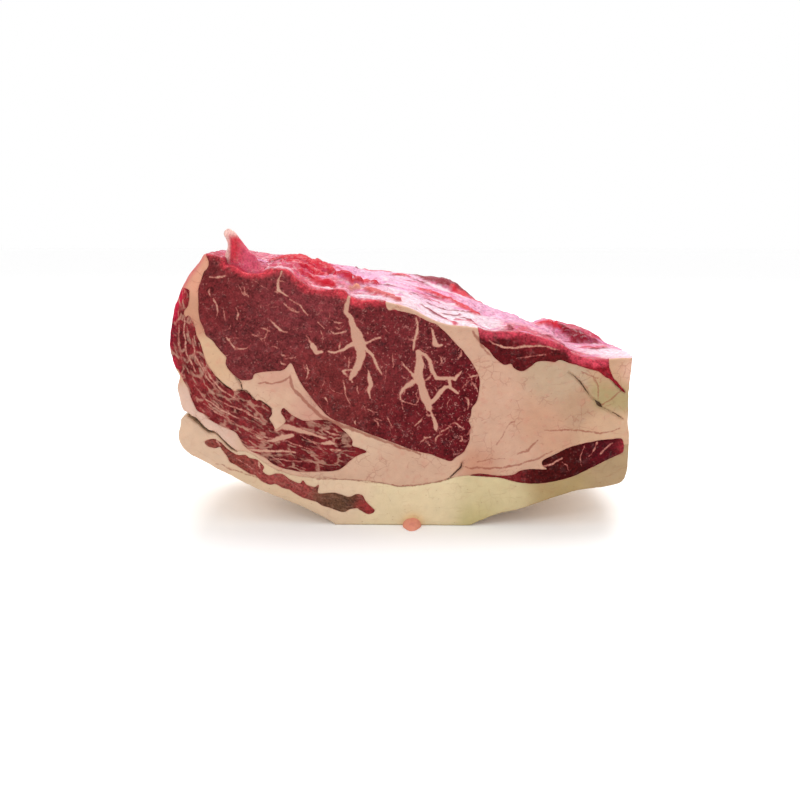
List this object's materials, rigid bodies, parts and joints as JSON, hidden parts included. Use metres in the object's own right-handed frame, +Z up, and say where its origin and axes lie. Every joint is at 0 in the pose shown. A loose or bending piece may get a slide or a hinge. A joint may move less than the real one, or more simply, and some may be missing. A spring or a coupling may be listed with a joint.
{
  "type": "boneless ribeye roast",
  "caption": "Raw boneless ribeye of beef cut square at both ends, with its eye, cap and rib muscles, seam fat and fat cap, resting on the fat cap.",
  "frame": {"origin": "middle of the footprint's box, on the surface it rests on", "axes": "+X along the cut face from the spine side to the flank, -Y out of the cut face that shows, +Z up to the rib side"},
  "size_m": [0.2299, 0.0977, 0.1481],
  "materials": {
    "lean": "raw lean beef, dark red and damp, with pale marbling",
    "lean_rib": "raw lean beef between the ribs, brighter red and damp",
    "fat": "firm raw beef fat, cream to pale yellow, waxy and slightly damp"
  },
  "bodies": {
    "root": {"eye_muscle": "lean", "cap_muscle": "lean", "back_muscle": "lean", "rib_muscle": "lean_rib", "lip_muscle": "lean", "fat": "fat"}
  },
  "joints": []
}
